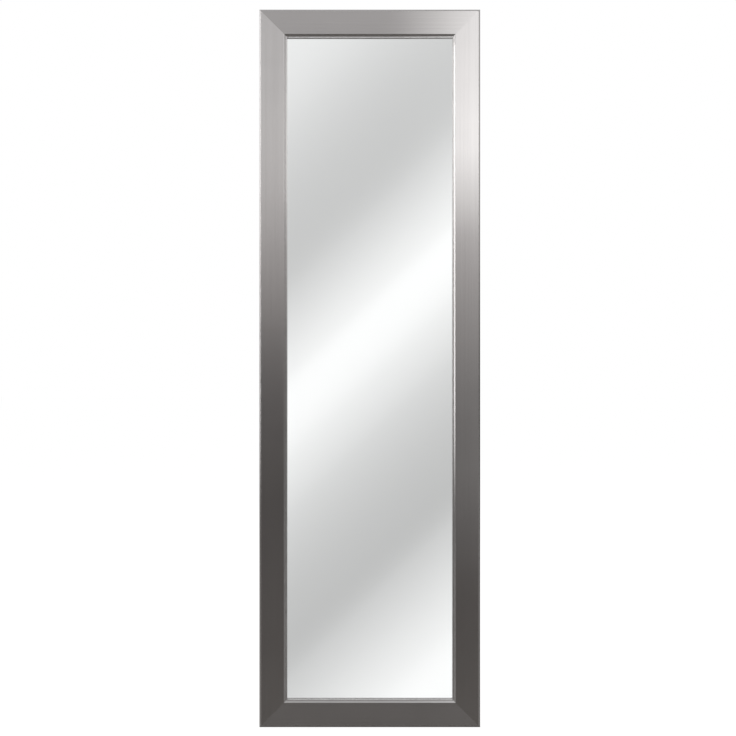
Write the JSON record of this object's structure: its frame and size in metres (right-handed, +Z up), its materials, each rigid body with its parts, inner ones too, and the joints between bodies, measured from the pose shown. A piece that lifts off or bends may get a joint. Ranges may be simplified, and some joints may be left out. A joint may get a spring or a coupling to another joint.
{
  "type": "wall mirror",
  "caption": "Tall wall mirror in a mitred flat frame with a brushed nickel face, held in by turn buttons and hung on D-rings.",
  "frame": {"origin": "centre of the wall plane: the plane that the rear faces of the four bumpers touch, level with the middle of the frame", "axes": "+Y into the wall, so the mirror looks along -Y; +Z up along the tall side; +X to the right as seen from the front"},
  "size_m": [0.4064, 0.0242, 1.3208],
  "materials": {
    "brushed_nickel_facing": "satin",
    "mdf_core": "matte",
    "float_glass": "polished",
    "silvering": "polished",
    "corrugated_board": "matte",
    "hardboard": "matte",
    "zinc_plated_steel": "satin",
    "nickel_plated_wire": "gloss",
    "bumper_rubber": "matte"
  },
  "bodies": {
    "root": {"core_bottom_rail": "mdf_core", "core_top_rail": "mdf_core", "core_left_stile": "mdf_core", "core_right_stile": "mdf_core", "facing_bottom_rail": "brushed_nickel_facing", "facing_top_rail": "brushed_nickel_facing", "facing_left_stile": "brushed_nickel_facing", "facing_right_stile": "brushed_nickel_facing", "corner_v_nails": "zinc_plated_steel", "mirror_glass": "float_glass", "silver_coating": "silvering", "filler_sheet": "corrugated_board", "backing_board": "hardboard", "turn_button_screws": "zinc_plated_steel", "hanger_screws": "zinc_plated_steel", "hanger_straps": "zinc_plated_steel", "wall_bumpers": "bumper_rubber"},
    "turn_button_left_1": {"turn_button_left_1": "zinc_plated_steel"},
    "turn_button_right_1": {"turn_button_right_1": "zinc_plated_steel"},
    "turn_button_left_2": {"turn_button_left_2": "zinc_plated_steel"},
    "turn_button_right_2": {"turn_button_right_2": "zinc_plated_steel"},
    "turn_button_left_3": {"turn_button_left_3": "zinc_plated_steel"},
    "turn_button_right_3": {"turn_button_right_3": "zinc_plated_steel"},
    "turn_button_bottom": {"turn_button_bottom": "zinc_plated_steel"},
    "turn_button_top": {"turn_button_top": "zinc_plated_steel"},
    "hanger_ring_left": {"hanger_ring_left": "nickel_plated_wire"},
    "hanger_ring_right": {"hanger_ring_right": "nickel_plated_wire"},
    "hanger_ring_side_upper": {"hanger_ring_side_upper": "nickel_plated_wire"},
    "hanger_ring_side_lower": {"hanger_ring_side_lower": "nickel_plated_wire"}
  },
  "joints": [
    {"name": "turn_left_1", "type": "hinge", "parent": "root", "child": "turn_button_left_1", "pos_m": [-0.16675, -0.0046, -0.5174], "axis": [0, 1, 0], "continuous": true},
    {"name": "turn_right_1", "type": "hinge", "parent": "root", "child": "turn_button_right_1", "pos_m": [0.16675, -0.0046, -0.5174], "axis": [0, 1, 0], "continuous": true},
    {"name": "turn_left_2", "type": "hinge", "parent": "root", "child": "turn_button_left_2", "pos_m": [-0.16675, -0.0046, 0], "axis": [0, 1, 0], "continuous": true},
    {"name": "turn_right_2", "type": "hinge", "parent": "root", "child": "turn_button_right_2", "pos_m": [0.16675, -0.0046, 0], "axis": [0, 1, 0], "continuous": true},
    {"name": "turn_left_3", "type": "hinge", "parent": "root", "child": "turn_button_left_3", "pos_m": [-0.16675, -0.0046, 0.5174], "axis": [0, 1, 0], "continuous": true},
    {"name": "turn_right_3", "type": "hinge", "parent": "root", "child": "turn_button_right_3", "pos_m": [0.16675, -0.0046, 0.5174], "axis": [0, 1, 0], "continuous": true},
    {"name": "turn_bottom", "type": "hinge", "parent": "root", "child": "turn_button_bottom", "pos_m": [0, -0.0046, -0.62395], "axis": [0, 1, 0], "continuous": true},
    {"name": "turn_top", "type": "hinge", "parent": "root", "child": "turn_button_top", "pos_m": [0, -0.0046, 0.62395], "axis": [0, 1, 0], "continuous": true},
    {"name": "ring_left", "type": "hinge", "parent": "root", "child": "hanger_ring_left", "pos_m": [-0.1812, -0.00287, 0.4204], "axis": [-1, 0, 0], "range_deg": [0, 177]},
    {"name": "ring_right", "type": "hinge", "parent": "root", "child": "hanger_ring_right", "pos_m": [0.1812, -0.00287, 0.4204], "axis": [-1, 0, 0], "range_deg": [0, 177]},
    {"name": "ring_side_upper", "type": "hinge", "parent": "root", "child": "hanger_ring_side_upper", "pos_m": [-0.1862, -0.00287, 0.3304], "axis": [0, 0, -1], "range_deg": [0, 177]},
    {"name": "ring_side_lower", "type": "hinge", "parent": "root", "child": "hanger_ring_side_lower", "pos_m": [-0.1862, -0.00287, -0.3304], "axis": [0, 0, -1], "range_deg": [0, 177]}
  ]
}
